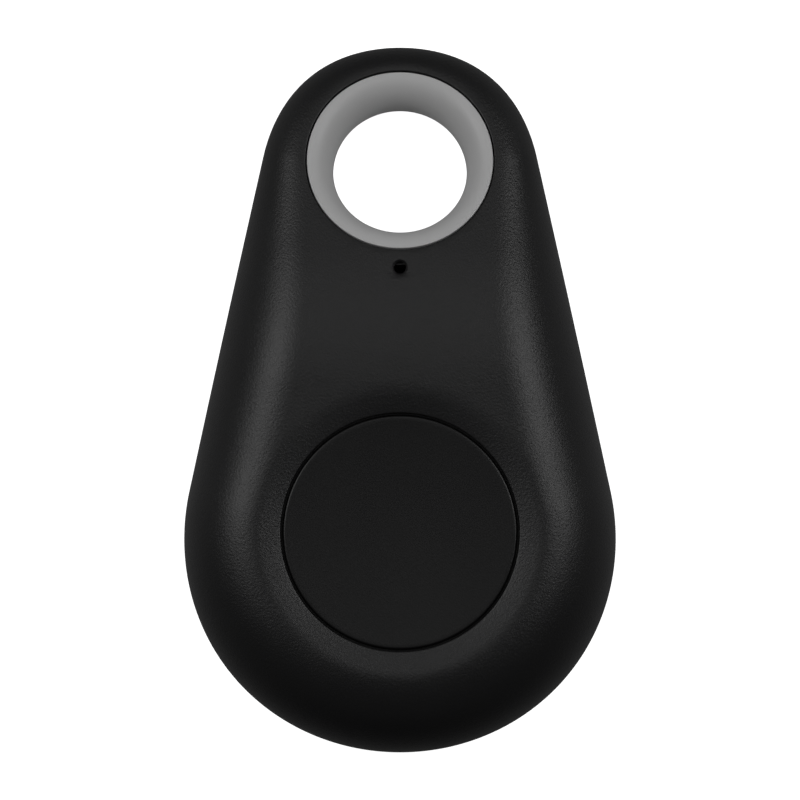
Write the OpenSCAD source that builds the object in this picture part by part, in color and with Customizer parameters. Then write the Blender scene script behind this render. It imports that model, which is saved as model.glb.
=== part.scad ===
// Key finder tag: a drop-shaped two-part case with a round button, a key-ring eyelet set in its
// sloping head, a coin cell, and a small radio board with a tact switch and a buzzer.
// It lies on its back: +Z is the front, +Y the key-ring end, the origin the middle of the back.

/* [Case] */
// Length from the tail to the tip of the head
body_l = 51; // [48:0.5:64]
// Width across the tail
body_w = 31.2; // [28:0.2:40]
// Radius of the head, seen from the front
head_r = 10.15; // [9.6:0.05:12.5]
// How far the head's corners stand out from a true arc
head_bulge = 0.19; // [0:0.01:0.4]
// How far the tail's shoulders stand out from a true arc
tail_bulge = 0.14; // [0:0.01:0.3]
// Thickness of the back shell's floor
back_wall = 1.2; // [0.9:0.1:2]
// Thickness of the front shell at its rim
front_wall = 1.4; // [1:0.1:1.8]
// Height of the parting line above the back
part_z = 3.2; // [2.6:0.1:4]
// Width of the rolled edge of the back
back_roll = 3; // [1.5:0.1:3.6]
// Width of the back shell's rim
rim_w = 1.8; // [1.6:0.1:2.2]
// Height of the lip that lines up the two shells
lip_h = 1; // [0.6:0.1:1.4]
// Depth of the rim outside that lip
lip_inset = 0.85; // [0.7:0.05:1.1]
// How far the sides of the flat face are drawn in between the eyelet and the button
face_waist = 1.6; // [0:0.1:2]
// Radius of the sound hole
sound_r = 0.43; // [0.3:0.01:0.7]
// Distance from the sound hole's middle to the eyelet's edge
sound_gap = 1.4; // [1:0.1:2]

/* [Eyelet] */
// Slope of the head's face, and tilt of the eyelet with it
tilt = 18.5; // [12:0.5:20]
// Radius of the eyelet's throat, its narrowest place
throat_r = 4.82; // [4:0.02:5.9]
// Width of the funnel from the throat to the face
funnel_w = 1.9; // [1.4:0.02:2.4]
// Depth of the funnel from the face to the throat
funnel_d = 2.8; // [2:0.1:3]
// Width of the case between the eyelet and the tip
tip_w = 1.8; // [1.4:0.05:3]
// Radial room that the bore behind the throat has round it
bore_relief = 0.18; // [0.1:0.02:0.4]
// Wall of the eyelet's tube
tube_wall = 1; // [0.8:0.1:1.4]

/* [Button] */
// Diameter of the button
button_d = 16.84; // [14:0.02:21]
// Gap round the button
button_gap = 0.2; // [0.15:0.01:0.3]
// Width of the sloping ring round the button
dish_w = 1.26; // [1:0.02:2]
// Depth of that ring
dish_h = 0.4; // [0.2:0.05:0.6]
// Distance from the middle of the tail's arc to the button's middle
button_offset = 0.37; // [0:0.01:1]
// Travel of the button
button_travel = 0.3; // [0.2:0.05:0.35]

/* [Coin cell] */
// Diameter of the cell
cell_d = 20; // [16:0.5:24]
// Thickness of the cell
cell_h = 3.2; // [2:0.1:4]
// Space between the cell and the board, for the contact spring
contact_h = 0.75; // [0.6:0.05:1.2]
// Radial room for the cell in its cradle
cell_gap = 0.15; // [0.1:0.05:0.3]

/* [Board] */
// Thickness of the board
board_t = 0.8; // [0.6:0.1:1.6]
// Gap between the board's edge and the case's outline
board_inset = 2.6; // [2.4:0.1:3.5]
// Side of the square tact switch
switch_w = 5.2; // [4.5:0.1:6]
// Height of the tact switch to the top of its plunger
switch_h = 2.05; // [1.8:0.05:2.6]
// Diameter of the buzzer
buzzer_d = 7.2; // [6:0.1:8]
// Height of the buzzer
buzzer_h = 2.3; // [2:0.1:2.4]

/* [Hidden] */
$fn = 96;

// Clearances
slide_gap = 0.05;  // between pieces that slide apart
face_gap = 0.05;   // between faces that meet when the case is shut
seat_gap = 0.1;    // round the eyelet and under the button's flange
cut = 0.01;        // how far a cutting shape reaches past the face it cuts

// The stack from the back to the face of the front
cell_z = back_wall + face_gap;
board_z = cell_z + cell_h + contact_h;
parts_z = board_z + board_t;
boss_z = parts_z + switch_h + slide_gap;
boss_h = 1;        // button's boss, from the switch up to the flange
flange_h = 0.6;
flange_z = boss_z + boss_h;
under_z = flange_z + flange_h + seat_gap;
dish_wall = 0.8;   // front shell's wall at the foot of the dish
button_z = under_z + dish_wall;
face_top = button_z + dish_h;

// Plan: the tail's arc, the head's arc and what is placed from them
tail_r = body_w / 2;
tail_y = tail_r - body_l / 2;
head_y = body_l / 2 - head_r;
button_r = button_d / 2;
hole_r = button_r + button_gap;
dish_r = hole_r + dish_w;
button_y = tail_y + button_offset;
edge_land = 0.15;  // flat land between the dish and the case's rolled edge

// The eyelet, and the face that slopes down with it
eyelet_r = throat_r + funnel_w;
tip_land = 0.22;   // flat land round the eyelet
tip_shift = 0.3;   // how far the land's arc lies short of the eyelet's middle
eyelet_y = body_l / 2 - tip_w - eyelet_r * cos(tilt);
bend_len = 10;     // length over which the face bends down
bend_end = eyelet_y - eyelet_r * cos(tilt);
bend_start = bend_end - bend_len;
bend_r = bend_len / sin(tilt);
bend_drop = bend_r * (1 - cos(tilt));
eyelet_z = face_z(eyelet_y);
bore_r = throat_r + bore_relief;
tube_r = bore_r + tube_wall;
bore_y = eyelet_y - funnel_d * sin(tilt);
throat_h = 0.35;   // straight part of the throat
tube_start = 1.3;  // depth below the face at which the tube leaves the funnel
far = 40;          // longer than any cut needs
sound_y = bend_end - sound_gap;
sound_flare = 0.15;  // chamfer of the sound hole

// Inside: the cell's cradle, the board's posts and the board's place
cell_r = cell_d / 2;
cradle_r = cell_r + cell_gap;
cradle_wall = 0.8;
cradle_h = 2.4;
clip_w = 4;
clip_t = 0.25;
free_gap = 0.3;    // least room between parts of the case that don't touch
board_end = bore_y - tube_r - 1.2;
peg_r = 0.8;
post_r = 1.5;
peg_x = tail_r - 6.5;
peg_out = cradle_r + cradle_wall + post_r + free_gap;
peg_y = button_y + sqrt(pow(peg_out, 2) - pow(peg_x, 2));
foot_r = 0.9;
flange_r = hole_r + 0.7;
foot_out = flange_r + foot_r + free_gap;
buzzer_r = buzzer_d / 2;
buzzer_y = board_end - buzzer_r - 0.8;

// How finely the drop outline and the rolled edges are divided
head_steps = 9;
side_steps = 8;
tail_steps = 13;
rim_points = 2 * (head_steps + side_steps + tail_steps);

// Height of the front face at y: level, then bending down, then a straight slope
function face_z(y) =
    y < bend_start ? face_top
    : y < bend_end ? face_top - bend_r + sqrt(pow(bend_r, 2) - pow(y - bend_start, 2))
    : face_top - bend_drop - (y - bend_end) * tan(tilt);

// Angle by which the straight sides lean in, for a drop with these arcs
function lean(ty, tr, hy, hr) = asin((tr - hr) / (hy - ty));

// Right half of a drop from its tip to its tail: the head's arc, the side drawn in by waist
// at its middle, the tail's arc. The arcs stand out at their middles by head_out and tail_out
function half_drop(ty, tr, hy, hr, head_out, tail_out, waist) =
    let (turn = 90 - lean(ty, tr, hy, hr))
    let (side_top = [hr * sin(turn), hy + hr * cos(turn)])
    let (side_end = [tr * sin(turn), ty + tr * cos(turn)])
    [
        for (i = [0:head_steps])
            let (a = turn * i / head_steps, r = hr + head_out * pow(sin(180 * i / head_steps), 2))
            [r * sin(a), hy + r * cos(a)],
        for (i = [1:side_steps - 1]) side_top + (side_end - side_top) * i / side_steps
            - [waist * sin(180 * i / side_steps), 0],
        for (i = [0:tail_steps])
            let (a = turn + (180 - turn) * i / tail_steps,
                r = tr + tail_out * pow(sin(180 * i / tail_steps), 2))
            [r * sin(a), ty + r * cos(a)]
    ];

// The whole outline, clockwise from the tip
function drop(ty, tr, hy, hr, head_out, tail_out, waist) =
    let (half = half_drop(ty, tr, hy, hr, head_out, tail_out, waist), n = len(half) - 1)
    concat(half, [for (i = [n - 1:-1:1]) [-half[i].x, half[i].y]]);

// The case's outline moved in by inset, and the edge of its flat face, a land outside the dish
function outline(inset) =
    drop(tail_y, tail_r - inset, head_y, head_r - inset, head_bulge, tail_bulge, 0);
function face_edge(inset) = drop(button_y, dish_r + edge_land - inset,
    eyelet_y - tip_shift, eyelet_r + tip_land - inset, 0, 0, face_waist);

// Closed solid through rings of points that rise from a level base to a top that bends along Y
module loft(rings) {
    n = len(rings[0]);
    m = len(rings) - 1;
    half = n / 2;
    faces = concat(
        [[for (k = [n - 1:-1:0]) k]],
        [for (j = [0:m - 1], k = [0:n - 1]) let (q = (k + 1) % n)
            [j * n + q, (j + 1) * n + q, (j + 1) * n + k, j * n + k]],
        [[m * n, m * n + 1, m * n + n - 1]],
        [for (i = [1:half - 2]) [m * n + n - i, m * n + i, m * n + i + 1, m * n + n - i - 1]],
        [[m * n + half + 1, m * n + half - 1, m * n + half]]
    );
    polyhedron(points = [for (ring = rings) each ring], faces = faces, convexity = 6);
}

// Rolled front of the case: each ring lies a step further from the outline towards the face
module front_form(inset, drop_z, base_z, steps) {
    rim = outline(inset);
    edge = face_edge(inset / 3);
    loft([for (j = [0:steps]) let (t = 90 * j / steps)
        [for (k = [0:rim_points - 1])
            let (p = edge[k] + (rim[k] - edge[k]) * cos(t), top = face_z(p.y) - drop_z)
            [p.x, p.y, base_z + (top - base_z) * sin(t)]]]);
}

// Rolled back of the case, below the parting line
module back_form(steps) {
    translate([0, 0, part_z]) mirror([0, 0, 1])
        loft([for (j = [0:steps]) let (t = 90 * j / steps, ring = outline(back_roll * (1 - cos(t))))
            [for (p = ring) [p.x, p.y, part_z * sin(t)]]]);
}

// Plate with the case's outline moved in by inset, between two heights, with true arcs
module plate(inset, z1, z2) {
    turn = 90 - lean(tail_y, tail_r, head_y, head_r);
    tr = tail_r - inset;
    hr = head_r - inset;
    right = [[hr * sin(turn), head_y + hr * cos(turn)], [tr * sin(turn), tail_y + tr * cos(turn)]];
    union() {
        translate([0, head_y, z1]) cylinder(r = hr, h = z2 - z1);
        translate([0, tail_y, z1]) cylinder(r = tr, h = z2 - z1);
        translate([0, 0, z1]) linear_extrude(z2 - z1)
            polygon([right[0], right[1], [-right[1].x, right[1].y], [-right[0].x, right[0].y]]);
    }
}

// A box given by its middle in plan, its foot and its size
module block(at, z, size) {
    translate([at.x - size.x / 2, at.y - size.y / 2, z]) cube(size);
}

// A disc or tube round a vertical axis
module disc(at, z, r, h) {
    translate([at.x, at.y, z]) cylinder(r = r, h = h);
}

module tube(at, z, r_out, r_in, h) {
    difference() {
        disc(at, z, r_out, h);
        disc(at, z - cut, r_in, h + 2 * cut);
    }
}

// Cutter for a round hole that opens out at height z by slope millimetres a millimetre
module flared_hole(at, r, z, slope) {
    translate([at.x, at.y, 0]) rotate_extrude()
        polygon([[0, 0], [r, 0], [r, z], [r + 2 * slope, z + 2], [0, z + 2]]);
}

// The eyelet's own frame: on the sloping face, with +Z along its axis
module at_eyelet() {
    translate([0, eyelet_y, eyelet_z]) rotate([-tilt, 0, 0]) children();
}

// All space deeper than d below the sloping face, as far as the eyelet needs
module below_face(d) {
    at_eyelet() translate([0, 0, -d - far]) cylinder(r = far, h = far);
}

cell_at = [0, button_y];
switch_at = [0, button_y];
buzzer_at = [0, buzzer_y];
peg_at = [[peg_x, peg_y], [-peg_x, peg_y]];
foot_at = [for (a = [-5, 185, 270]) [foot_out * cos(a), button_y + foot_out * sin(a)]];

// Front half of the case: rolled shell with the button's hole, the eyelet's seat and three feet
module front_shell() color("#1b1b1c") {
    collar_wall = 1;
    collar_r = eyelet_r + seat_gap + collar_wall;
    rebate_z = part_z + lip_h + face_gap;
    difference() {
        front_form(0, 0, part_z, 9);
        difference() {
            front_form(front_wall, face_top - under_z, part_z - cut, 7);
            for (at = foot_at) disc(at, parts_z + face_gap, foot_r, far);
            intersection() {
                at_eyelet() translate([0, 0, -funnel_d]) cylinder(r = collar_r, h = far);
                translate([-far / 2, 0, rebate_z]) cube([far, far, far]);
            }
        }
        plate(lip_inset - slide_gap, part_z - 2 * cut, rebate_z);
        flared_hole([0, button_y], hole_r, button_z, dish_w / dish_h);
        flared_hole([0, sound_y], sound_r, face_z(sound_y) - sound_flare, 1);
        at_eyelet() translate([0, 0, -far / 2]) cylinder(r = eyelet_r + seat_gap, h = far);
    }
}

// Back half of the case: floor, lip, cradle for the cell and two posts with pegs for the board
module back_shell() color("#19191a") {
    notch_w = clip_w + 1;
    pry = [6, 1.2, 0.4];
    root = 0.5;
    difference() {
        union() {
            back_form(7);
            plate(lip_inset, part_z - root, part_z + lip_h);
        }
        plate(rim_w, back_wall, far);
        disc([0, bore_y], -1, tube_r + seat_gap, far);
        at_eyelet() translate([0, 0, -funnel_d - seat_gap]) cylinder(r = eyelet_r + seat_gap, h = far);
        block([0, -body_l / 2], part_z - pry.z, pry + [0, 0, cut]);
    }
    difference() {
        tube(cell_at, back_wall - root, cradle_r + cradle_wall, cradle_r, cradle_h + root);
        block(cell_at, back_wall, [2 * far, notch_w, far]);
    }
    for (at = peg_at) {
        disc(at, back_wall - root, post_r, board_z - face_gap - back_wall + root);
        disc(at, back_wall, peg_r, parts_z + free_gap - back_wall);
    }
}

// Push button: hollow cap with a flange that keeps it in the shell, and a boss over the switch
module button_cap() color("#171718") {
    edge = 0.15;
    hollow = 0.2;
    under = button_z - 1;      // underside of the cap's top
    boss_r = 1.6;
    skirt_r = button_r - 0.9;  // inside of the cap's wall
    top_r = button_r - edge;
    translate([0, button_y, 0]) rotate_extrude() polygon(concat(
        [[0, boss_z], [boss_r, boss_z], [boss_r, under], [skirt_r, under], [skirt_r, flange_z],
            [flange_r, flange_z], [flange_r, flange_z + flange_h], [button_r, flange_z + flange_h],
            [button_r, button_z - edge]],
        [for (i = [0:6]) let (u = i / 6) [top_r * (1 - u), button_z - hollow * (1 - pow(1 - u, 2))]]
    ));
}

// Grey eyelet: funnel normal to the sloping face, a throat, and a straight tube to the back
module eyelet_ring() color("#8f8f8f") {
    arc_steps = 12;
    edge = 0.12;
    difference() {
        union() {
            at_eyelet() translate([0, 0, -funnel_d]) cylinder(r = eyelet_r, h = funnel_d);
            intersection() {
                disc([0, bore_y], seat_gap, tube_r, far);
                below_face(tube_start);
            }
        }
        at_eyelet() rotate_extrude() polygon(concat(
            [[0, 1], [eyelet_r, 1], [eyelet_r, -edge / 2]],
            [for (i = [0:arc_steps]) let (t = 90 * i / arc_steps)
                [eyelet_r - edge - (funnel_w - edge) * sin(t), -funnel_d * (1 - cos(t))]],
            [[throat_r, -funnel_d - throat_h - cut], [0, -funnel_d - throat_h - cut]]
        ));
        intersection() {
            disc([0, bore_y], -1, bore_r, far);
            below_face(funnel_d + throat_h);
        }
    }
}

// Glass-fibre board, cut back round the eyelet's tube, with two holes for the pegs
module circuit_board() color("#1d5a37") difference() {
    plate(board_inset, board_z, parts_z);
    translate([-far, board_end, 0]) cube([2 * far, far, far]);
    disc([0, bore_y], 0, tube_r + 0.5, far);
    for (at = peg_at) disc(at, 0, peg_r + slide_gap, far);
}

// Copper aerial on the board: a meander along the left side of the buzzer
module antenna_trace() color("#b87333") {
    line_w = 0.4;
    pitch = 1;
    reach = 3.6;
    turns = 4;
    copper = 0.05;
    x0 = -buzzer_r - 0.8 - reach;
    y0 = board_end - 1 - 2 * turns * pitch;
    for (i = [0:turns - 1]) {
        y = y0 + 2 * pitch * i;
        translate([x0, y, parts_z]) cube([reach, line_w, copper]);
        translate([x0, y, parts_z]) cube([line_w, pitch + line_w, copper]);
        translate([x0, y + pitch, parts_z]) cube([reach, line_w, copper]);
        translate([x0 + reach - line_w, y + pitch, parts_z]) cube([line_w, pitch + line_w, copper]);
    }
}

chip_at = [buzzer_r + 3, board_end - 3.6];
crystal_at = [buzzer_r + 2.3, board_end - 7.4];

// Radio chip in a leadless square package
module bluetooth_chip() color("#202225") block(chip_at, parts_z, [4, 4, 0.8]);

// Quartz crystal in a metal can
module crystal() color("#c9cbcd") block(crystal_at, parts_z, [2.5, 2, 0.6]);

// Indicator lamp: white body and a clear lens on it, at the end of the board beside the eyelet
led_at = [buzzer_r + 2, board_end - 0.7];
led_h = 0.4;
module led_body() color("#e8e6df") block(led_at, parts_z, [1.6, 0.8, led_h]);
module led_lens() color("#dfe9f2") block(led_at, parts_z + led_h, [1, 0.8, 0.25]);

// Chip capacitors in a row above the switch and by the radio chip
module chip_capacitors() color("#9c7a52") {
    for (i = [-2:1]) block([1.4 * i, button_y + 5.4], parts_z, [0.6, 1.1, 0.5]);
    for (x = [-2.6, -0.2]) block(chip_at + [x, -6.6], parts_z, [1.1, 0.6, 0.5]);
}

// Chip resistors below the switch
module chip_resistors() color("#26272b") {
    for (i = [-2:2]) block([1.5 * i, button_y - 5], parts_z, [0.6, 1.1, 0.35]);
}

// Inductor that matches the aerial
module matching_inductor() color("#6f6f72")
    block([-buzzer_r - 2.6, board_end - 10.6], parts_z, [1.6, 0.9, 0.8]);

// Transistor that drives the buzzer: a moulded body and three feet
module driver_transistor() color("#222225") {
    at = [-6.4, button_y + 1];
    body = [1.3, 2.9, 0.95];
    foot = [0.55, 0.4, 0.15];
    block(at, parts_z + 0.05, body);
    for (y = [-0.95, 0.95]) block(at + [-(body.x + foot.x) / 2 + cut, y], parts_z, foot);
    block(at + [(body.x + foot.x) / 2 - cut, 0], parts_z, foot);
}

// Diode across the buzzer's coil
module flyback_diode() color("#2b2b2e") block([6.4, button_y + 1], parts_z, [1.3, 1.8, 0.9]);

// Gilt pads for testing the board, on its back beside the cell
module test_pads() color("#d0a94e") {
    for (i = [-2:2]) disc([2 * i, board_end - 2], board_z - 0.05, 0.6, 0.05);
}

// Tact switch: moulded base with a well for the dome
switch_base_h = 1.1;
well_z = parts_z + 0.3;
dome_h = button_travel + slide_gap;
dome_sheet = 0.08;
dome_top = well_z + 2 * dome_sheet + dome_h;
stem_r = 1.2;
module switch_base() color("#2a2a2c") difference() {
    block(switch_at, parts_z, [switch_w, switch_w, switch_base_h]);
    disc(switch_at, well_z, 1.9, switch_base_h);
}

// Snap dome of thin spring steel in the well
module switch_dome() color("#c8c8c8") {
    r = 1.8;
    steps = 8;
    top = [for (i = [0:steps]) let (u = i / steps)
        [r * u, dome_sheet * (1 - u) + dome_h * (1 - pow(u, 2))]];
    translate([switch_at.x, switch_at.y, well_z + dome_sheet]) rotate_extrude() polygon(concat(
        top, [for (i = [steps:-1:0]) top[i] - [0, dome_sheet]]
    ));
}

// Plunger with a foot under the switch's cover, between the dome and the button's boss
module switch_plunger() color("#3c3c3f") {
    foot_z = dome_top + slide_gap / 2;
    disc(switch_at, foot_z, stem_r, parts_z + switch_h - foot_z);
    disc(switch_at, foot_z, stem_r + 0.3, parts_z + switch_base_h - slide_gap / 2 - foot_z);
}

// Steel cover folded over the base
module switch_cover() color("#d2d2d0") difference() {
    block(switch_at, parts_z + switch_base_h, [switch_w - 0.2, switch_w - 0.2, 0.25]);
    disc(switch_at, parts_z, stem_r + slide_gap, far);
}

// Buzzer, from its case inwards
buzzer_wall = 0.4;
yoke_z = parts_z;
yoke_h = 0.3;
magnet_h = 0.85;
diaphragm_z = yoke_z + yoke_h + magnet_h;
inner_r = buzzer_r - buzzer_wall;
module buzzer_case() color("#151516") difference() {
    disc(buzzer_at, parts_z, buzzer_r, buzzer_h);
    disc(buzzer_at, parts_z - cut, inner_r, buzzer_h - buzzer_wall + cut);
    disc(buzzer_at, parts_z, 0.8, far);
}

// Steel base of the buzzer with the pole on it
module buzzer_yoke() color("#8d9094") {
    disc(buzzer_at, yoke_z, inner_r - slide_gap, yoke_h);
    disc(buzzer_at, yoke_z, 0.65, yoke_h + magnet_h - 0.15);
}

// Ring magnet on the base
module buzzer_magnet() color("#4a4c50")
    tube(buzzer_at, yoke_z + yoke_h, inner_r - slide_gap, inner_r - 0.8, magnet_h);

// Coil of copper wire round the pole
module buzzer_coil() color("#b4632c")
    tube(buzzer_at, yoke_z + yoke_h, inner_r - 1.2, 0.7, magnet_h - 0.25);

// Thin steel disc that sounds, weighted in the middle
module buzzer_diaphragm() color("#a9acb0") {
    disc(buzzer_at, diaphragm_z, inner_r - slide_gap, 0.08);
    disc(buzzer_at, diaphragm_z, 1.1, 0.3);
}

// Two steel clips that hang from the board and press on the side of the cell
module battery_positive_clips() color("#cfcfc9") {
    x0 = cell_r + slide_gap;
    reach = 2.2;
    for (side = [0, 1]) mirror([side, 0, 0]) translate([0, cell_at.y + clip_w / 2, 0])
        rotate([90, 0, 0]) linear_extrude(clip_w) polygon([
            [x0, cell_z + 1.2], [x0 + clip_t, cell_z + 1.2], [x0 + clip_t, board_z],
            [x0 - reach, board_z], [x0 - reach, board_z - clip_t], [x0, board_z - clip_t]
        ]);
}

// Steel tongue under the board that presses on the middle of the cell
module battery_negative_spring() color("#cfcfc9") {
    tongue_t = 0.2;
    y0 = cell_at.y - 5;
    low = cell_z + cell_h + slide_gap;
    translate([1.5, 0, 0]) rotate([0, -90, 0]) linear_extrude(3) polygon([
        [board_z, y0], [board_z, y0 + 3], [low + tongue_t, y0 + 6], [low + tongue_t, y0 + 7.5],
        [low, y0 + 7.5], [low, y0 + 5.9], [board_z - tongue_t, y0 + 2.9], [board_z - tongue_t, y0]
    ]);
}

// Coin cell, from its steel can inwards
can_t = 0.25;
cap_r = cell_r - 1.2;
cap_t = 0.25;
cathode_h = 1.7;
foil_t = 0.1;
anode_h = 0.55;
module ring_profile(points) translate([cell_at.x, cell_at.y, cell_z]) rotate_extrude() polygon(points);

module cell_can() color("#c4c6c8") ring_profile([
    [0, 0], [cell_r - 0.3, 0], [cell_r, 0.3], [cell_r, cell_h - 0.5], [cell_r - 0.35, cell_h - 0.15],
    [cell_r - 0.6, cell_h - 0.15], [cell_r - 0.6, cell_h - 0.4], [cell_r - can_t, cell_h - 0.75],
    [cell_r - can_t, can_t], [0, can_t]
]);

// Plastic ring that seals the cap in the can
module cell_gasket() color("#3a3a3c") ring_profile([
    [cap_r, can_t], [cell_r - can_t, can_t], [cell_r - can_t, cell_h - 0.75],
    [cell_r - 0.6, cell_h - 0.4], [cell_r - 0.6, cell_h - 0.2], [cap_r, cell_h - 0.2]
]);

// Steel cap, the negative face of the cell
module cell_cap() color("#cfd1d2") ring_profile([
    [0, cell_h - cap_t], [cap_r - cap_t, cell_h - cap_t], [cap_r - cap_t, can_t + cathode_h],
    [cap_r, can_t + cathode_h], [cap_r, cell_h - 0.2], [cap_r - 0.2, cell_h], [0, cell_h]
]);

// Pressed cathode, separator paper and lithium disc inside the cell
module cell_cathode() color("#2f2f30")
    disc(cell_at, cell_z + can_t, cap_r - slide_gap, cathode_h - slide_gap);
module cell_separator() color("#e9e7e0")
    disc(cell_at, cell_z + can_t + cathode_h, cap_r - cap_t - slide_gap, foil_t);
module cell_anode() color("#b9bcc0")
    disc(cell_at, cell_z + can_t + cathode_h + foil_t, cap_r - 0.6, anode_h);

front_shell();
back_shell();
button_cap();
eyelet_ring();
circuit_board();
antenna_trace();
bluetooth_chip();
crystal();
led_body();
led_lens();
chip_capacitors();
chip_resistors();
matching_inductor();
driver_transistor();
flyback_diode();
test_pads();
switch_base();
switch_dome();
switch_plunger();
switch_cover();
buzzer_case();
buzzer_yoke();
buzzer_magnet();
buzzer_coil();
buzzer_diaphragm();
battery_positive_clips();
battery_negative_spring();
cell_can();
cell_gasket();
cell_cap();
cell_cathode();
cell_separator();
cell_anode();
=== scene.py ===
import math

import bmesh
import bpy
import numpy as np
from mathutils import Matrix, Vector
from mathutils.geometry import delaunay_2d_cdt


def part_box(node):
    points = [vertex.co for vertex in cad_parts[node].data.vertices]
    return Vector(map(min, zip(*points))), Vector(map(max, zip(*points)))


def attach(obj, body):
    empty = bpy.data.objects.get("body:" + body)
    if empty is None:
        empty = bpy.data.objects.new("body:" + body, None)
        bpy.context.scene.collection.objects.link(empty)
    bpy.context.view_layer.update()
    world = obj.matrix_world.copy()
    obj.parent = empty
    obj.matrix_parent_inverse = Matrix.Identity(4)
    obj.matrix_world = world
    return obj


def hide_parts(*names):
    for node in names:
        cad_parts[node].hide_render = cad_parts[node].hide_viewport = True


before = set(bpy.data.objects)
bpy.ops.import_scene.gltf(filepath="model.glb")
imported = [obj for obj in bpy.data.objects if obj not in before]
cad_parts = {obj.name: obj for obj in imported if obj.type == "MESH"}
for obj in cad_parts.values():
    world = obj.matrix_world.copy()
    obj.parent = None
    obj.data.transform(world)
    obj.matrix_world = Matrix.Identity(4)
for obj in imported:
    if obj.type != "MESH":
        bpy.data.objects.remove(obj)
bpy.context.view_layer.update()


def span(node):
    """Lowest and highest corner of a CAD node, in millimetres."""
    low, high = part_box(node)
    return np.array(low) * 1000, np.array(high) * 1000


case_low, case_high = span("front_shell")
cap_low, cap_high = span("button_cap")
board_low, board_high = span("circuit_board")
face_top, part_z, board_top = case_high[2], case_low[2], board_high[2]
tail_r, tail_bulge, head_r, head_bulge = 15.6, 0.14, 10.15, 0.19
tail_y = case_low[1] + tail_r
head_y = case_high[1] - head_r
button_y = (cap_low[1] + cap_high[1]) / 2
button_r, button_gap, dish_w, dish_h = 8.42, 0.2, 1.26, 0.33
hole_r = button_r + button_gap
dish_r = hole_r + dish_w
seat_gap, slide_gap, boss_h, flange_h = 0.1, 0.05, 1.0, 0.6
boss_z = cap_low[2]
flange_z = boss_z + boss_h
under_z = flange_z + flange_h + seat_gap
flange_r = hole_r + 0.7
tilt = math.radians(18.5)
tip_w, throat_r, funnel_w, funnel_d = 1.8, 4.82, 1.9, 2.8
eyelet_r = throat_r + funnel_w
eyelet_y = case_high[1] - tip_w - eyelet_r * math.cos(tilt)
bend_end = eyelet_y - eyelet_r * math.cos(tilt)
bend_len = 10
bend_start = bend_end - bend_len
bend_r = bend_len / math.sin(tilt)
sound_y, sound_r, sound_flare = bend_end - 1.4, 0.43, 0.15


def face_z(y):
    """Height of the front face: level, then an arc that bends down, then a straight slope."""
    arc = np.clip(y - bend_start, 0, bend_len)
    slope = np.clip(y - bend_end, 0, None)
    return face_top - bend_r + np.sqrt(bend_r**2 - arc**2) - slope * math.tan(tilt)


eyelet_at = np.array([0, eyelet_y, face_z(eyelet_y)])
eyelet_axis = np.array([0, math.sin(tilt), math.cos(tilt)])
eyelet_up = np.array([0, math.cos(tilt), -math.sin(tilt)])
dip_r, soft_r, dip_h = dish_r + 0.1, dish_r + 0.9, 0.065


def face_height(plan):
    """The face less the soft outer edge of the dish, which sinks by the square of the way in."""
    r = np.hypot(plan[..., 0], plan[..., 1] - button_y)
    return face_z(plan[..., 1]) - dip_h * np.clip((soft_r - r) / (soft_r - dip_r), 0, 1) ** 2


def drop(ty, tr, hy, hr, head_out=0.0, tail_out=0.0, waist=-0.03):
    """Clockwise outline from the tip: arc of radius hr + head_out sin^2, side drawn in by waist
    sin, arc of radius tr + tail_out sin^2. A side is never quite straight, so that no three of
    its points are in line."""
    turn = math.pi / 2 - math.asin((tr - hr) / (hy - ty))
    u = np.linspace(0, 1, 73)
    r = hr + head_out * np.sin(np.pi * u) ** 2
    head = np.stack([r * np.sin(turn * u), hy + r * np.cos(turn * u)], 1)
    u = np.linspace(0, 1, 105)
    a, r = turn + (math.pi - turn) * u, tr + tail_out * np.sin(np.pi * u) ** 2
    tail = np.stack([r * np.sin(a), ty + r * np.cos(a)], 1)
    u = np.linspace(0, 1, 65)[1:-1, None]
    side = head[-1] + (tail[0] - head[-1]) * u - [[waist, 0]] * np.sin(np.pi * u)
    half = np.concatenate([head, side, tail])
    return np.concatenate([half, half[-2:0:-1] * [-1, 1]])


def outline(inset):
    """The case's outline seen from the front, moved in by inset."""
    return drop(tail_y, tail_r - inset, head_y, head_r - inset, head_bulge, tail_bulge)


def level(ring, z):
    """A ring of plan points at one height, or at a height for each point."""
    return np.column_stack([ring, np.broadcast_to(z, len(ring))])


def circle(x, y, r, n):
    """n plan points round a circle."""
    a = np.arange(n) * 2 * np.pi / n
    return np.stack([x + r * np.cos(a), y + r * np.sin(a)], 1)


def seat_ring(r, depth, n=288):
    """Ring of radius r round the eyelet's tilted axis, depth below the sloping face."""
    a = np.arange(n) * 2 * np.pi / n
    across = np.outer(r * np.cos(a), [1, 0, 0]) + np.outer(r * np.sin(a), eyelet_up)
    return eyelet_at + across - np.multiply.outer(np.broadcast_to(depth, n), eyelet_axis)


def skin(rings, wrap=True):
    """Quads between neighbouring rings of a grid of points; wrap closes each ring on itself."""
    rings = np.asarray(rings)
    rows, cols = rings.shape[:2]
    k = np.arange(cols if wrap else cols - 1)
    a = np.arange(rows - 1)[:, None] * cols + k
    b = np.arange(rows - 1)[:, None] * cols + (k + 1) % cols
    return rings.reshape(-1, 3), np.stack([a, b, b + cols, a + cols], -1).reshape(-1, 4)


def lathe(profile, x, y, n=192):
    """A profile of radius and height turned round the upright axis at x, y."""
    profile = np.asarray(profile, float)
    a = np.arange(n) * 2 * np.pi / n
    r, z = profile[:, :1], profile[:, 1:]
    return skin(np.stack([x + r * np.cos(a), y + r * np.sin(a), z + 0 * a], -1))


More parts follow.
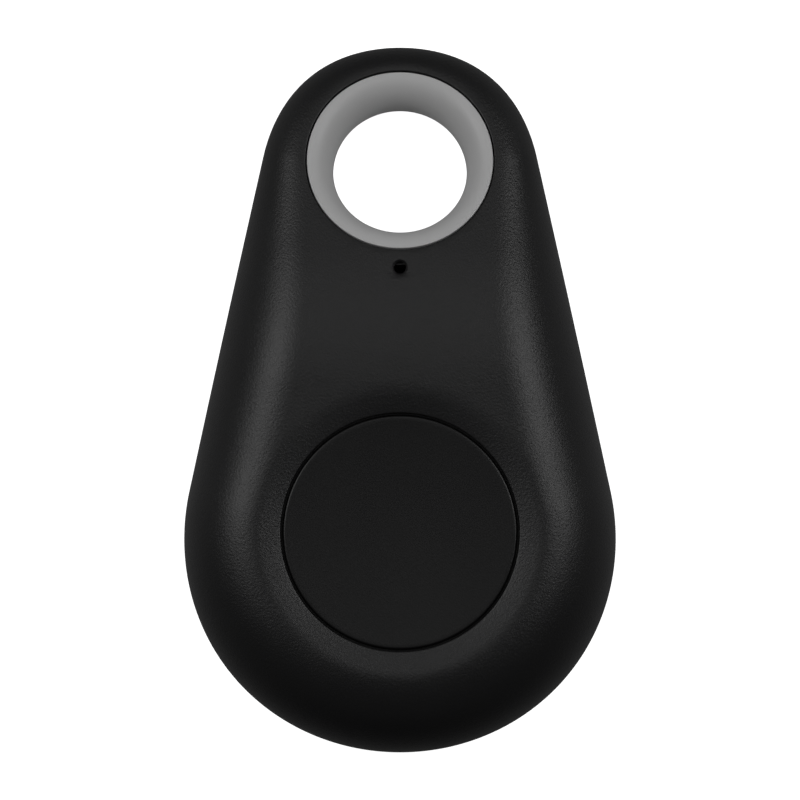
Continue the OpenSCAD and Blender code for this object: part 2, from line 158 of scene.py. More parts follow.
def inside(points, loop):
    """Whether each plan point lies in a closed loop, by how many edges a ray from it crosses."""
    a, b = loop, np.roll(loop, -1, 0)
    px, py = points[:, :1], points[:, 1:]
    over = (a[:, 1] > py) != (b[:, 1] > py)
    rise = np.where(a[:, 1] == b[:, 1], 1, b[:, 1] - a[:, 1])
    return (over & (px < a[:, 0] + (py - a[:, 1]) * (b[:, 0] - a[:, 0]) / rise)).sum(1) % 2 == 1


def web(outer, holes, height, step=0.45):
    """Triangles inside a plan loop and outside its holes, lifted to height(plan) at each point."""
    loops = [outer] + holes
    ends = np.cumsum([0] + [len(loop) for loop in loops])
    grid = np.stack(np.meshgrid(np.arange(-16, 16, step), np.arange(-26, 26, step)), -1).reshape(-1, 2)
    rim = np.concatenate(loops)
    keep = inside(grid, outer)
    for hole in holes:
        keep &= ~inside(grid, hole)
    grid = grid[keep]
    near = ((grid[:, None] - rim[None]) ** 2).sum(-1).min(1)
    grid = grid[near > (0.6 * step) ** 2]
    k = np.arange(len(rim))
    after = k + 1
    after[ends[1:] - 1] = ends[:-1]
    points, _, tris, *_ = delaunay_2d_cdt(
        [Vector(p) for p in np.concatenate([rim, grid]).tolist()],
        np.stack([k, after], 1).tolist(), [], 0, 1e-6, False)
    points, tris = np.array(points), np.array(tris)
    middle = points[tris].mean(1)
    keep = inside(middle, outer)
    for hole in holes:
        keep &= ~inside(middle, hole)
    return np.column_stack([points, height(points)]), tris[keep]


def piece(name, patches, body, replaces=(), sharp=40):
    """One mesh of patches given in millimetres, welded where they meet, faces turned outwards."""
    verts, faces, first = [], [], 0
    for points, polys in patches:
        verts += (points / 1000).tolist()
        faces += (polys + first).tolist()
        first += len(points)
    mesh = bpy.data.meshes.new(name)
    mesh.from_pydata(verts, [], faces)
    work = bmesh.new()
    work.from_mesh(mesh)
    bmesh.ops.remove_doubles(work, verts=work.verts, dist=2e-6)
    bmesh.ops.dissolve_degenerate(work, edges=work.edges, dist=1e-7)
    bmesh.ops.recalc_face_normals(work, faces=work.faces)
    work.to_mesh(mesh)
    work.free()
    mesh.shade_smooth()
    mesh.set_sharp_from_angle(angle=math.radians(sharp))
    thing = bpy.data.objects.new(name, mesh)
    bpy.context.scene.collection.objects.link(thing)
    even = thing.modifiers.new("even_shading", "WEIGHTED_NORMAL")
    even.keep_sharp = True
    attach(thing, body)
    if replaces:
        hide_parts(*replaces)
    return thing


edge_round, edge_land, face_waist, tip_shift, tip_land = 0.12, 0.15, 1.6, 0.3, 0.32
face_rim = drop(button_y, dish_r + edge_land, eyelet_y - tip_shift, eyelet_r + tip_land, waist=face_waist)
roof_wall, roof_in = 1.2, 0.47
roof_rim = drop(button_y, dish_r + edge_land - roof_in, eyelet_y - tip_shift, eyelet_r + tip_land,
                waist=face_waist)


def roof_height(plan):
    """The underside of the face, a wall's thickness below it."""
    return face_z(plan[..., 1]) - roof_wall


def roll(rim, edge, base, height, steps):
    """Rings from rim to edge: across by cosine, and up from base to the face by sine."""
    t = np.linspace(0, np.pi / 2, steps)[:, None, None]
    plan = edge + (rim - edge) * np.cos(t)
    top = height(plan)[..., None]
    return np.concatenate([plan, base + (top - base) * np.sin(t)], -1)


quarter = np.linspace(0, np.pi / 2, 5)
seat_r, seat_round = eyelet_r + seat_gap, 0.08
seat_top = seat_ring(seat_r + seat_round, 0)[:, :2]
seat_turn = [seat_ring(seat_r + seat_round * (1 - math.sin(a)), seat_round * (1 - math.cos(a)))
             for a in quarter]
seat_turn[0] = level(seat_top, face_z(seat_top[:, 1]))
seat_foot = seat_ring(seat_r, roof_wall * math.cos(tilt))[:, :2]
sound_top, sound_in = circle(0, sound_y, sound_r + sound_flare, 48), circle(0, sound_y, sound_r, 48)
# The dish goes on inwards from its soft edge with the same slope, and steepens to its full depth.
lip_round = 0.05
in_r = hole_r + lip_round
steep = 2 * dip_h / (soft_r - dip_r)
curl = (dish_h - dip_h - steep * (dip_r - in_r)) / (dip_r - in_r) ** 2
w = np.linspace(0, dip_r - in_r, 20)
dish = np.stack([dip_r - w, face_top - dip_h - steep * w - curl * w**2], 1)
dish_lip = [(hole_r + lip_round * (1 - math.sin(a)),
             dish[-1, 1] - lip_round * (1 - math.cos(a)) - 0.01 * math.sin(a)) for a in quarter[1:]]
outer_roll = roll(outline(0), face_rim, part_z + edge_round, face_height, 48)
rim_turn = [level(outline(edge_round * (1 - math.cos(a))), part_z + edge_round * (1 - math.sin(a)))
            for a in quarter]
front_wall, rebate_in, rebate_top, rebate_round = 1.4, 0.8, part_z + 1.05, 0.06
rebate = [level(outline(inset), z) for inset, z in
          [(rebate_in - rebate_round, part_z), (rebate_in, part_z + rebate_round),
           (rebate_in, rebate_top), (front_wall, rebate_top)]]
inner_roll = roll(outline(front_wall), roof_rim, rebate_top, roof_height, 24)
shell = [
    skin(np.concatenate([outer_roll[::-1], rim_turn, rebate, inner_roll])),
    web(face_rim, [circle(0, button_y, dip_r, 288), sound_top, seat_top], face_height),
    web(roof_rim, [circle(0, button_y, hole_r, 288), sound_in, seat_foot], roof_height),
    lathe(np.concatenate([dish, dish_lip, [(hole_r, under_z)]]), 0, button_y, 288),
    skin([level(sound_top, face_z(sound_top[:, 1])),
          level(sound_in, face_z(sound_in[:, 1]) - sound_flare),
          level(sound_in, roof_height(sound_in))]),
    skin(seat_turn + [level(seat_foot, roof_height(seat_foot))]),
]
# The collar that the eyelet is pressed in, cut short where it meets the rim at the tip, and the
# three feet that hold the board down.
turn_up = np.sin(np.arange(288) * 2 * np.pi / 288)
collar_wall, collar_start = 1.0, 0.5
collar_r = seat_r + collar_wall


def collar_end(r):
    """Depth of the collar's end round its turn: the funnel's depth, or where the rebate cuts it."""
    free = (eyelet_at[2] - r * turn_up * math.sin(tilt) - rebate_top) / math.cos(tilt)
    return np.clip(np.minimum(funnel_d, free), 0.6, None)


shell.append(skin([seat_ring(seat_r, collar_start), seat_ring(seat_r, collar_end(seat_r)),
                   seat_ring(collar_r, collar_end(collar_r)), seat_ring(collar_r, collar_start),
                   seat_ring(seat_r, collar_start)]))
foot_r, free_gap = 0.9, 0.3
foot_out = flange_r + foot_r + free_gap
foot_z, foot_root = board_top + slide_gap, under_z + 0.3
foot = [(0, foot_z), (foot_r - 0.15, foot_z), (foot_r - 0.04, foot_z + 0.04), (foot_r, foot_z + 0.15),
        (foot_r, foot_root), (0, foot_root)]
for a in np.radians([-5, 185, 270]):
    shell.append(lathe(foot, foot_out * math.cos(a), button_y + foot_out * math.sin(a), 48))
front_cover = piece("front_cover", shell, "front", ["front_shell"])


def linear(text):
    """An sRGB hex colour as linear red, green, blue and alpha."""
    c = np.array([int(text[i:i + 2], 16) for i in (1, 3, 5)]) / 255
    c = np.where(c <= 0.04045, c / 12.92, ((c + 0.055) / 1.055) ** 2.4)
    return (*c.tolist(), 1.0)


def add(tree, kind, links=None, settings=None, **values):
    """One node: its settings, the values of its inputs, and links into its inputs, all by name."""
    made = tree.nodes.new(kind)
    for key, value in (settings or {}).items():
        setattr(made, key, value)
    for key, value in values.items():
        made.inputs[key.replace("_", " ")].default_value = value
    for key, source in (links or {}).items():
        tree.links.new(source, made.inputs[key])
    return made


def finish(name, **surface):
    """A new material with one Principled shader; gives the material, its tree and that shader."""
    made = bpy.data.materials.new(name)
    made.use_nodes = True
    tree = made.node_tree
    tree.nodes.clear()
    shader = add(tree, "ShaderNodeBsdfPrincipled", **surface)
    out = add(tree, "ShaderNodeOutputMaterial", {"Surface": shader.outputs[0]})
    return made, tree, shader


def per_mm(size):
    """Scale that makes a pattern on Object coordinates, which are metres, repeat every size mm."""
    return 1000 / size


def grained(name, dark, light, rough, grain_mm, grain_um, waves=0.06, **surface):
    """A moulded or sintered surface: colour drift, uneven gloss, and a grain of real height."""
    made, tree, shader = finish(name, **surface)
    at = add(tree, "ShaderNodeTexCoord").outputs["Object"]
    drift = add(tree, "ShaderNodeTexNoise", {"Vector": at}, Scale=per_mm(7), Detail=3.0).outputs[0]
    tone = add(tree, "ShaderNodeMix", {"Factor": drift}, {"data_type": "RGBA"})
    tone.inputs[6].default_value, tone.inputs[7].default_value = linear(dark), linear(light)
    tree.links.new(tone.outputs[2], shader.inputs["Base Color"])
    gloss = add(tree, "ShaderNodeMapRange", {"Value": drift})
    gloss.inputs["To Min"].default_value = rough - waves
    gloss.inputs["To Max"].default_value = rough + waves
    tree.links.new(gloss.outputs[0], shader.inputs["Roughness"])
    grain = add(tree, "ShaderNodeTexNoise", {"Vector": at}, Scale=per_mm(grain_mm), Detail=4.0,
                Roughness=0.6).outputs[0]
    bump = add(tree, "ShaderNodeBump", {"Height": grain}, Strength=1.0, Distance=grain_um * 1e-6)
    tree.links.new(bump.outputs[0], shader.inputs["Normal"])
    return made


# Spark-eroded ABS: near black, a broad soft gloss broken by a fine pebbled grain. The real grain
# is about 0.05 mm; it is drawn at 0.16 mm so that it shows.
case_abs = grained("abs_moulded_spark_grain_black", "#0e0e0f", "#111112", 0.40, 0.16, 34, IOR=1.53)
front_cover.data.materials.append(case_abs)

# ---- Back shell --------------------------------------------------------------------------------
# The back half, moulded in the same grained ABS: a flat floor with a rolled edge, a lip that lines
# up the two halves, a cradle for the cell, two pegs for the board and a slot to prise it open.
bore_y = eyelet_y - funnel_d * math.sin(tilt)
bore_r, tube_wall, back_wall, back_roll = 5.0, 1.0, 1.2, 3.0
tube_r = bore_r + tube_wall
# Rows of inset and height: up the rolled edge, past the slot, round the rim, over the lip and down
# its inside to the floor.
roll_h = part_z - edge_round
back_rows = [(back_roll * (1 - math.cos(t)), roll_h - roll_h * math.sin(t))
             for t in np.linspace(math.acos(1 - 2.75 / back_roll), 0, 28)]
pry_w, pry_in, pry_h = 3.0, 0.6, 0.4
back_rows += [(0, part_z - pry_h), (0, part_z - pry_h + 0.02)]
back_rows = sorted(back_rows, key=lambda row: row[1])
back_rows += [(edge_round * (1 - math.cos(a)), part_z - edge_round * (1 - math.sin(a)))
              for a in quarter[1:]]
lip_in, rim_w, lip_top = rebate_in + slide_gap, 1.8, rebate_top - slide_gap
back_rows += [(lip_in, part_z), (lip_in, lip_top - 0.15), (lip_in + 0.1, lip_top), (rim_w - 0.1, lip_top),
              (rim_w, lip_top - 0.1), (rim_w, back_wall + 0.25), (rim_w + 0.25, back_wall)]
rings = np.array([level(outline(inset), z) for inset, z in back_rows])
slot_rows = np.array([z > part_z - pry_h + 0.01 and inset < 0.2 for inset, z in back_rows])
slot_here = (np.abs(rings[..., 0]) < pry_w) & (rings[..., 1] < tail_y)
rings[..., 1] += pry_in * slot_here * slot_rows[:, None]
tube_hole = circle(0, bore_y, tube_r + seat_gap, 192)
shell = [
    skin(rings),
    web(rings[0, :, :2], [tube_hole], lambda plan: np.full(len(plan), rings[0, 0, 2])),
    web(rings[-1, :, :2], [tube_hole], lambda plan: np.full(len(plan), back_wall)),
    skin([level(tube_hole, rings[0, 0, 2]), level(tube_hole, back_wall)]),
]
cradle_in, cradle_out, cradle_top, root = 10.15, 10.95, back_wall + 2.4, back_wall - 0.5
section = np.array([(cradle_in, root), (cradle_out, root), (cradle_out, cradle_top - 0.1),
                    (cradle_out - 0.1, cradle_top), (cradle_in + 0.15, cradle_top),
                    (cradle_in, cradle_top - 0.15)])
notch = math.asin(2.5 / cradle_out)
for start in (0, np.pi):
    a = start + np.linspace(notch, np.pi - notch, 96)[:, None]
    wall = np.stack([section[:, 0] * np.cos(a), button_y + section[:, 0] * np.sin(a),
                     section[:, 1] + 0 * a], -1)
    shell += [skin(wall), (wall[0], np.arange(6)[None]), (wall[-1], np.arange(6)[None])]
post_r, peg_r, peg_x = 1.5, 0.8, tail_r - 6.5
post_top, peg_top = board_low[2] - slide_gap, board_top + 0.3
peg_y = button_y + math.sqrt((cradle_out + post_r + free_gap) ** 2 - peg_x**2)
post = [(0, root), (post_r, root), (post_r, post_top - 0.1), (post_r - 0.1, post_top), (peg_r, post_top),
        (peg_r, peg_top - 0.15), (peg_r - 0.15, peg_top), (0, peg_top)]
for x in (-peg_x, peg_x):
    shell.append(lathe(post, x, peg_y, 64))
back_cover = piece("back_cover", shell, "back", ["back_shell"])
back_cover.data.materials.append(case_abs)

# ---- Push button -------------------------------------------------------------------------------
# A hollow moulded cap, very slightly dished on top, with a fine rounded edge. A flange under the
# shell keeps it in, and the boss in its middle presses the switch.
cap_top, cap_wall, cap_round, hollow, boss_r = cap_high[2], 1.0, 0.16, 0.2, 1.6
flange_top, cap_in = flange_z + flange_h, button_r - 0.9
u = np.linspace(0, 1, 40)
top = np.stack([(button_r - cap_round) * u, cap_top - hollow * (1 - u**2)], 1)
edge = [(button_r - cap_round * (1 - math.sin(a)), cap_top - cap_round * (1 - math.cos(a)))
        for a in np.linspace(0, np.pi / 2, 7)[1:]]
profile = [*top, *edge, (button_r, flange_top + 0.05), (button_r + 0.05, flange_top),
           (flange_r - 0.06, flange_top), (flange_r, flange_top - 0.06), (flange_r, flange_z + 0.06),
           (flange_r - 0.06, flange_z), (cap_in, flange_z), (cap_in, cap_top - cap_wall - 0.2),
           (cap_in - 0.2, cap_top - cap_wall), (boss_r + 0.1, cap_top - cap_wall),
           (boss_r, cap_top - cap_wall - 0.1), (boss_r, boss_z + 0.1), (boss_r - 0.1, boss_z), (0, boss_z)]
push_cap = piece("push_cap", [lathe(profile, 0, button_y, 288)], "button", ["button_cap"])
# The cap has a soft-touch elastomer coat, sprayed on: the same black as the case, with a finer grain
# and a weaker gloss.
soft_touch = grained("elastomer_soft_touch_sprayed_black", "#0a0a0b", "#0d0d0d", 0.40, 0.13, 10, IOR=1.44)
push_cap.data.materials.append(soft_touch)

# ---- Eyelet ------------------------------------------------------------------------------------
# The grey key-ring eyelet: a bell-mouthed funnel square to the sloping face, a short throat, and an
# upright tube that goes through to the back. It is moulded apart and pressed in its seat.
throat_h, brim, brim_round, tube_round = 0.35, 0.12, 0.07, 0.15


def upright_ring(r, depth=None, z=None):
    """Ring of an upright cylinder of radius r: at height z, or cut by a plane below the face."""
    x, y = circle(0, bore_y, r, 288).T
    if z is None:
        z = eyelet_at[2] - depth / math.cos(tilt) - (y - eyelet_at[1]) * math.tan(tilt)
    return np.stack([x, y, z + 0 * x], -1)


mouth = [seat_ring(eyelet_r - brim - (funnel_w - brim) * math.sin(t), funnel_d * (1 - math.cos(t)))
         for t in np.linspace(0, np.pi / 2, 40)]
brim_turn = [seat_ring(eyelet_r - brim_round * (1 - math.cos(t)), brim_round * (1 - math.sin(t)))
             for t in np.linspace(0, np.pi / 2, 6)]
throat_end, tube_foot = funnel_d + throat_h, seat_gap + tube_round
rings = [*brim_turn, *mouth, seat_ring(throat_r, throat_end), upright_ring(bore_r, throat_end),
         upright_ring(bore_r, z=tube_foot), upright_ring(bore_r + tube_round, z=seat_gap),
         upright_ring(tube_r - tube_round, z=seat_gap), upright_ring(tube_r, z=tube_foot),
         upright_ring(tube_r, funnel_d), seat_ring(eyelet_r, funnel_d), brim_turn[0]]
key_eyelet = piece("key_eyelet", [skin(rings)], "front", ["eyelet_ring"])
# Moulded satin grey: smooth, with only a faint flow unevenness and a soft wide gloss.
grey_abs = grained("abs_moulded_satin_grey", "#c6c6c6", "#cbcbcb", 0.46, 0.5, 2.5, IOR=1.5)
key_eyelet.data.materials.append(grey_abs)

# ---- Circuit board -----------------------------------------------------------------------------
# A glass-fibre board 0.8 mm thick, etched, coated with green solder mask and routed to shape. Two
# pegs of the back shell locate it, and the three feet of the front shell hold it down.
def dress(material, *nodes):
    """Give CAD nodes a material in place of the plain one they came with."""
    for node in nodes:
        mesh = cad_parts[node].data
        mesh.materials.clear()
        mesh.materials.append(material)


# Solder mask over copper: deep green, lighter and a hair higher over the tracks, with a lacquer
# gloss; the routed edge shows the pale resin and glass.
board_green, tree, shader = finish("glass_fibre_board_solder_mask_green", IOR=1.5, Coat_Weight=0.35,
                                   Coat_Roughness=0.18)
at = add(tree, "ShaderNodeTexCoord").outputs["Object"]
track = add(tree, "ShaderNodeTexBrick", {"Vector": at},
            {"offset": 0.37, "squash": 0.6, "squash_frequency": 3}, Scale=per_mm(1), Mortar_Size=0.07,
            Mortar_Smooth=0.2, Brick_Width=3.1, Row_Height=0.8).outputs[1]
weave = add(tree, "ShaderNodeTexNoise", {"Vector": at}, Scale=per_mm(0.5), Detail=3.0).outputs[0]
tone = add(tree, "ShaderNodeMix", {"Factor": track}, {"data_type": "RGBA"})
tone.inputs[6].default_value, tone.inputs[7].default_value = linear("#114a2c"), linear("#1f6b41")
normal = add(tree, "ShaderNodeNewGeometry").outputs["Normal"]
upright = add(tree, "ShaderNodeSeparateXYZ", {"Vector": normal}).outputs["Z"]
level_face = add(tree, "ShaderNodeMath", {0: upright}, {"operation": "ABSOLUTE"}).outputs[0]
sides = add(tree, "ShaderNodeMix", {"Factor": level_face, 7: tone.outputs[2]}, {"data_type": "RGBA"})
sides.inputs[6].default_value = linear("#9b9a63")
tree.links.new(sides.outputs[2], shader.inputs["Base Color"])
gloss = add(tree, "ShaderNodeMapRange", {"Value": weave})
gloss.inputs["To Min"].default_value, gloss.inputs["To Max"].default_value = 0.32, 0.44
tree.links.new(gloss.outputs[0], shader.inputs["Roughness"])
relief = add(tree, "ShaderNodeMath", {0: weave, 2: track}, {"operation": "MULTIPLY_ADD"})
relief.inputs[1].default_value = 0.3
bump = add(tree, "ShaderNodeBump", {"Height": relief.outputs[0]}, Strength=1.0, Distance=2e-5)
tree.links.new(bump.outputs[0], shader.inputs["Normal"])
dress(board_green, "circuit_board")

# ---- Copper, gilt and solder on the board ------------------------------------------------------
# The aerial is a bare etched copper line, the test pads are plated with gold, and every small part
# sits in reflowed tin solder that climbs its ends in a hollow fillet.
def metal(name, dark, light, rough, lay_mm, stretch=(1, 1, 1), um=1.5, **surface):
    """A metal surface: tone and gloss drift, and fine marks whose lay is set by a stretch."""
    made, tree, shader = finish(name, Metallic=1.0, **surface)
    at = add(tree, "ShaderNodeTexCoord").outputs["Object"]
    lay = add(tree, "ShaderNodeMapping", {"Vector": at}, Scale=stretch).outputs[0]
    marks = add(tree, "ShaderNodeTexNoise", {"Vector": lay}, Scale=per_mm(lay_mm), Detail=4.0).outputs[0]
    drift = add(tree, "ShaderNodeTexNoise", {"Vector": at}, Scale=per_mm(2.5), Detail=2.0).outputs[0]
    tone = add(tree, "ShaderNodeMix", {"Factor": drift}, {"data_type": "RGBA"})
    tone.inputs[6].default_value, tone.inputs[7].default_value = linear(dark), linear(light)
    tree.links.new(tone.outputs[2], shader.inputs["Base Color"])
    gloss = add(tree, "ShaderNodeMapRange", {"Value": marks})
    gloss.inputs["To Min"].default_value = rough - 0.08
    gloss.inputs["To Max"].default_value = rough + 0.1
    tree.links.new(gloss.outputs[0], shader.inputs["Roughness"])
    bump = add(tree, "ShaderNodeBump", {"Height": marks}, Strength=1.0, Distance=um * 1e-6)
    tree.links.new(bump.outputs[0], shader.inputs["Normal"])
    return made


def box_rings(x, y, wide, long, rows, corner=0.05):
    """Rings of a rounded rectangle round x, y, one for each row of outward step and height."""
    a = np.arange(24) * 2 * np.pi / 24 + np.pi / 24
    out = np.stack([np.cos(a), np.sin(a)], 1)
    square = np.sign(out) * (np.array([wide, long]) / 2 - corner) + corner * out
    loops = [np.column_stack([[x, y] + square + step * np.sign(out), np.full(24, z)]) for step, z in rows]
    return [skin(loops), (loops[0], np.arange(24)[None]), (loops[-1], np.arange(24)[None])]


# Etched copper left bare, dulled by handling; immersion gold, warm and satin; tin, bright and soft.
dress(metal("copper_etched_bare", "#b06a3c", "#c98a58", 0.38, 0.3), "antenna_trace")
dress(metal("gold_immersion_plated", "#d8b45a", "#e6c878", 0.28, 0.2), "test_pads")
tin = metal("tin_solder_reflowed", "#b4b6b8", "#d2d4d5", 0.24, 0.4, um=3)
chip_r, part_w, part_l, cap_l, tall_c, tall_r = 2.0, 0.6, 1.1, 0.22, 0.5, 0.35
chip_x, chip_y = span("bluetooth_chip")[0][:2] + chip_r
end_out = part_l / 2 - 0.09
upright_parts = [(1.4 * i, button_y + 5.4, tall_c) for i in range(-2, 2)]
upright_parts += [(1.5 * i, button_y - 5, tall_r) for i in range(-2, 3)]
ends = [(x, y + side * end_out, part_w, cap_l, tall, 0, side)
        for x, y, tall in upright_parts for side in (-1, 1)]
ends += [(x + side * end_out, chip_y - 6.6, cap_l, part_w, tall_c, side, 0)
         for x in (chip_x - 2.6, chip_x - 0.2) for side in (-1, 1)]


def wetted(spread, height):
    """Rows of a solder fillet: outward step and height above the board, hollow like a quarter turn."""
    return [(spread * (1 - math.sin(t)), board_top + height * (1 - math.cos(t)))
            for t in np.linspace(0, 1.5, 6)]


caps, fillets = [], []
for x, y, wide, long, tall, sx, sy in ends:
    caps += box_rings(x, y, wide + 0.04, long + 0.02,
                      [(-0.03, board_top), (0, board_top + 0.04), (0, board_top + tall - 0.02),
                       (-0.03, board_top + tall + 0.02)], 0.04)
    fillets += box_rings(x + 0.06 * sx, y + 0.06 * sy, wide - 0.02, long, wetted(0.2, 0.7 * tall), 0.04)
end_caps = piece("chip_end_caps", caps, "board")
solder = piece("solder_fillets", fillets, "board")
end_caps.data.materials.append(tin)
solder.data.materials.append(tin)

# ---- Chips and small parts ---------------------------------------------------------------------
# The radio chip, transistor and diode are moulded in filled black epoxy, the capacitors are fired
# tan ceramic, the resistors are ceramic under black glaze, and the crystal is in a plated can.
dress(grained("epoxy_moulded_filled_black", "#17181a", "#1f2022", 0.55, 0.09, 6, IOR=1.55),
      "bluetooth_chip", "driver_transistor", "flyback_diode")
dress(grained("ceramic_fired_tan", "#8d6c46", "#a5835a", 0.5, 0.07, 4, IOR=1.7), "chip_capacitors")
dress(grained("ceramic_glazed_black", "#141518", "#1d1e22", 0.25, 0.2, 2, IOR=1.6), "chip_resistors")
dress(grained("ferrite_sintered_grey", "#55565a", "#66676b", 0.6, 0.06, 8, IOR=1.8), "matching_inductor")
can_metal = metal("steel_pressed_nickel_plated", "#b9bbbc", "#d3d4d4", 0.27, 0.12, (1, 14, 1))
dress(can_metal, "crystal", "switch_cover")
dress(grained("polymer_moulded_lamp_white", "#dedbd2", "#ece9e1", 0.4, 0.12, 3, IOR=1.55), "led_body")
dress(grained("epoxy_cast_clear", "#e6eef4", "#f2f7fa", 0.12, 0.6, 1, waves=0.03, IOR=1.5,
              Transmission_Weight=0.85), "led_lens")
# Contact lands round the radio chip: six to a side, half under the body, wetted with solder.
lands = []
land_w, land_l = 0.28, 0.36
land_rows = [(0, board_top), (0, board_top + 0.1), (-0.06, board_top + 0.16)]
for i in np.arange(6) * 0.6 - 1.5:
    for side in (-chip_r, chip_r):
        lands += box_rings(chip_x + i, chip_y + side, land_w, land_l, land_rows, 0.04)
        lands += box_rings(chip_x + side, chip_y + i, land_l, land_w, land_rows, 0.04)
chip_lands = piece("chip_lands", lands, "board")
chip_lands.data.materials.append(tin)

# ---- Tact switch -------------------------------------------------------------------------------
# A moulded base with a well for the snap dome, a plated steel cover folded over it, a dark plunger,
# and four steel legs that are soldered to the board.
dress(grained("nylon_moulded_glass_filled_black", "#1c1c1e", "#262628", 0.5, 0.1, 5, IOR=1.53),
      "switch_base")
spring = metal("spring_steel_rolled_nickel_plated", "#b4b2aa", "#cfcdc6", 0.3, 0.1, (18, 1, 1))
dress(spring, "switch_dome", "battery_positive_clips", "battery_negative_spring")
dress(grained("acetal_moulded_dark_grey", "#343437", "#3c3c40", 0.42, 0.2, 3, IOR=1.48), "switch_plunger")
corners = [(sx, sy) for sx in (-1, 1) for sy in (-1, 1)]
leg_y, leg_t = 1.8, 0.15
# A leg's underside, out from the base and down to the board, as distance out and height over it.
bend = np.array([[2.55, 0.62], [2.75, 0.62], [2.9, 0.5], [2.92, 0.3], [2.95, 0.12], [3.1, 0.02],
                 [3.5, 0.0]])
side_loop = np.concatenate([bend, (bend + [0, leg_t])[::-1]])
loop_face = np.arange(len(side_loop))[None]
legs = []
for sx, sy in corners:
    across = button_y + sy * leg_y + np.array([-0.35, -0.32, 0.32, 0.35])
    strip = np.stack([np.column_stack([sx * side_loop[:, 0], np.full(len(side_loop), y),
                                       board_top + side_loop[:, 1]]) for y in across])
    legs += [skin(strip), (strip[0], loop_face), (strip[-1], loop_face)]
switch_legs = piece("switch_legs", legs, "board", sharp=60)
switch_legs.data.materials.append(can_metal)
leg_solder = []
for sx, sy in corners:
    leg_solder += box_rings(sx * 3.3, button_y + sy * leg_y, 0.5, 0.75, wetted(0.14, 0.2), 0.1)
leg_joints = piece("leg_joints", leg_solder, "board")
leg_joints.data.materials.append(tin)

# ---- Buzzer ------------------------------------------------------------------------------------
# A magnetic buzzer, from its moulded case inwards: a steel base and pole, a sintered ring magnet, a
# coil of lacquered copper wire, and a thin steel disc that sounds over them.
dress(grained("nylon_moulded_smooth_black", "#121213", "#19191b", 0.36, 0.18, 3, IOR=1.53), "buzzer_case")
dress(metal("steel_rolled_bright", "#84868a", "#a2a4a7", 0.35, 0.12, (1, 10, 1)),
      "buzzer_yoke", "buzzer_diaphragm")
dress(grained("ferrite_sintered_dark", "#2c2d30", "#3a3b3f", 0.62, 0.08, 8, IOR=2.3), "buzzer_magnet")
# Lacquered wire 0.05 mm thick, drawn at 0.09 mm so that the turns show, as bands along the height: raised
# turns with painted shade that darkens the copper in the grooves between them, and a painted highlight
# that lightens it on their crests.
wire, tree, shader = finish("copper_wire_lacquered_painted_turn_shade", Metallic=1.0, Coat_Weight=0.6, Coat_Roughness=0.12)
at = add(tree, "ShaderNodeTexCoord").outputs["Object"]
turn_relief_and_shade = add(tree, "ShaderNodeTexWave", {"Vector": at}, {"bands_direction": "Z"}, Scale=per_mm(0.09) / 20)
# Painted shade and highlight: the copper is darker in the grooves between turns and lighter on their
# crests.
tone = add(tree, "ShaderNodeMix", {"Factor": turn_relief_and_shade.outputs[1]}, {"data_type": "RGBA"})
tone.inputs[6].default_value, tone.inputs[7].default_value = linear("#7d3f1c"), linear("#c67a42")
tree.links.new(tone.outputs[2], shader.inputs["Base Color"])
gloss = add(tree, "ShaderNodeMapRange", {"Value": turn_relief_and_shade.outputs[1]})
gloss.inputs["To Min"].default_value, gloss.inputs["To Max"].default_value = 0.45, 0.28
tree.links.new(gloss.outputs[0], shader.inputs["Roughness"])
bump = add(tree, "ShaderNodeBump", {"Height": turn_relief_and_shade.outputs[1]}, Strength=1.0, Distance=2e-5)
tree.links.new(bump.outputs[0], shader.inputs["Normal"])
dress(wire, "buzzer_coil")

# ---- Coin cell ---------------------------------------------------------------------------------
# A lithium cell of 20 mm by 3.2 mm: a deep-drawn stainless can and cap, sealed by a plastic ring,
# round a pressed cathode, a paper separator and a lithium disc.
# Drawn stainless with a turned lay: rings 0.12 mm apart round the cell's own middle.
drawn, tree, shader = finish("stainless_steel_drawn_satin", Metallic=1.0)
at = add(tree, "ShaderNodeTexCoord").outputs["Object"]
flat = add(tree, "ShaderNodeMapping", {"Vector": at}, Location=(0, -button_y / 1000, 0), Scale=(1, 1, 0))
radius = add(tree, "ShaderNodeVectorMath", {0: flat.outputs[0]}, {"operation": "LENGTH"}).outputs["Value"]
lay = add(tree, "ShaderNodeTexNoise", {"W": radius}, {"noise_dimensions": "1D"}, Scale=per_mm(0.12),
          Detail=3.0).outputs[0]
drift = add(tree, "ShaderNodeTexNoise", {"Vector": at}, Scale=per_mm(4), Detail=3.0).outputs[0]
tone = add(tree, "ShaderNodeMix", {"Factor": drift}, {"data_type": "RGBA"})
tone.inputs[6].default_value, tone.inputs[7].default_value = linear("#b3b5b6"), linear("#c9cacb")
tree.links.new(tone.outputs[2], shader.inputs["Base Color"])
gloss = add(tree, "ShaderNodeMapRange", {"Value": lay})
gloss.inputs["To Min"].default_value, gloss.inputs["To Max"].default_value = 0.22, 0.42
tree.links.new(gloss.outputs[0], shader.inputs["Roughness"])
bump = add(tree, "ShaderNodeBump", {"Height": lay}, Strength=1.0, Distance=2e-6)
tree.links.new(bump.outputs[0], shader.inputs["Normal"])
dress(drawn, "cell_can", "cell_cap")
dress(grained("polypropylene_moulded_black", "#2c2c2e", "#363638", 0.3, 0.2, 3, IOR=1.49), "cell_gasket")
dress(grained("manganese_dioxide_pressed", "#202021", "#303031", 0.8, 0.06, 12, IOR=2.0), "cell_cathode")
dress(grained("paper_non_woven_white", "#dad8d0", "#eceae4", 0.85, 0.05, 10, IOR=1.5), "cell_separator")
dress(metal("lithium_rolled_dull", "#8f9296", "#a9acaf", 0.5, 0.2, (6, 1, 1), um=4), "cell_anode")

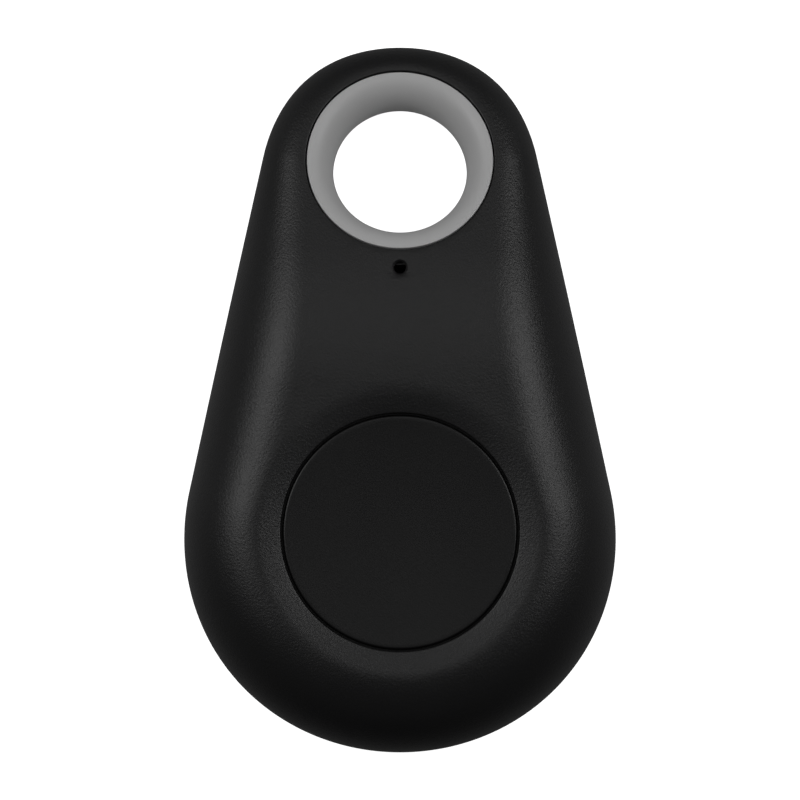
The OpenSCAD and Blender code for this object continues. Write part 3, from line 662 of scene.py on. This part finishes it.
# ---- Light table, lamps and camera -------------------------------------------------------------
# A plain white translucent sheet lit from below, two large softboxes high on the left and right of
# the head, and a camera that looks straight down on the face.
bpy.ops.mesh.primitive_plane_add(size=3.0, location=(0, 0, -0.0002))
table = bpy.context.object
table.name = "light_table"
table.visible_diffuse = table.visible_glossy = False
# Opal acrylic, evenly lit through: plain white from above, and clear from below, so that the back
# of the tag can be looked at too.
sheet, tree, shader = finish("acrylic_opal_sheet_lit", Roughness=0.6)
shader.inputs["Base Color"].default_value = linear("#f4f4f4")
shader.inputs["Emission Color"].default_value = linear("#ffffff")
shader.inputs["Emission Strength"].default_value = 1.0
under = add(tree, "ShaderNodeNewGeometry").outputs["Backfacing"]
clear = add(tree, "ShaderNodeBsdfTransparent").outputs[0]
either = add(tree, "ShaderNodeMixShader", {0: under, 1: shader.outputs[0], 2: clear}).outputs[0]
tree.links.new(either, tree.nodes["Material Output"].inputs["Surface"])
table.data.materials.append(sheet)

for name, x, y, z, watts, wide, tall in [("softbox_left", -0.45, 0.15, 0.42, 1.02, 0.26, 0.38),
                                         ("softbox_right", 0.45, 0.15, 0.42, 1.02, 0.26, 0.38),
                                         ("softbox_top", 0.0, 0.25, 0.53, 0.34, 0.52, 0.52)]:
    lamp = bpy.data.lights.new(name, "AREA")
    lamp.shape, lamp.size, lamp.size_y, lamp.energy = "RECTANGLE", wide, tall, watts
    box = bpy.data.objects.new(name, lamp)
    box.location = (x, y, z)
    box.rotation_euler = (Vector((0, 0, 0)) - box.location).to_track_quat("-Z", "Y").to_euler()
    bpy.context.scene.collection.objects.link(box)

# The room: dim above. Below the horizon the table throws light back, more from the head's side,
# where the lamps are, than from the tail's.
world = bpy.data.worlds.new("studio")
world.use_nodes = True
tree = world.node_tree
tree.nodes["Background"].inputs["Color"].default_value = linear("#ffffff")
way = add(tree, "ShaderNodeTexCoord").outputs["Generated"]
split = add(tree, "ShaderNodeSeparateXYZ", {"Vector": way})
low = add(tree, "ShaderNodeMath", {0: split.outputs["Y"]}, {"operation": "MULTIPLY_ADD"})
low.inputs[1].default_value, low.inputs[2].default_value = 0.115, 0.13
glow = add(tree, "ShaderNodeMapRange", {"Value": split.outputs["Z"], "To Min": low.outputs[0]},
           {"interpolation_type": "SMOOTHSTEP"})
glow.inputs["From Min"].default_value, glow.inputs["From Max"].default_value = -0.25, 0.15
glow.inputs["To Max"].default_value = 0.07
tree.links.new(glow.outputs[0], tree.nodes["Background"].inputs["Strength"])
bpy.context.scene.world = world
bpy.context.scene.view_settings.view_transform = "Standard"

far, field = 1.5, 0.05789
camera = bpy.data.cameras.new("camera")
camera.sensor_width, camera.lens = 36, 36 * far / field
eye = bpy.data.objects.new("camera", camera)
eye.location = (0, 0, part_z / 1000 + far)
bpy.context.scene.collection.objects.link(eye)
bpy.context.scene.camera = eye
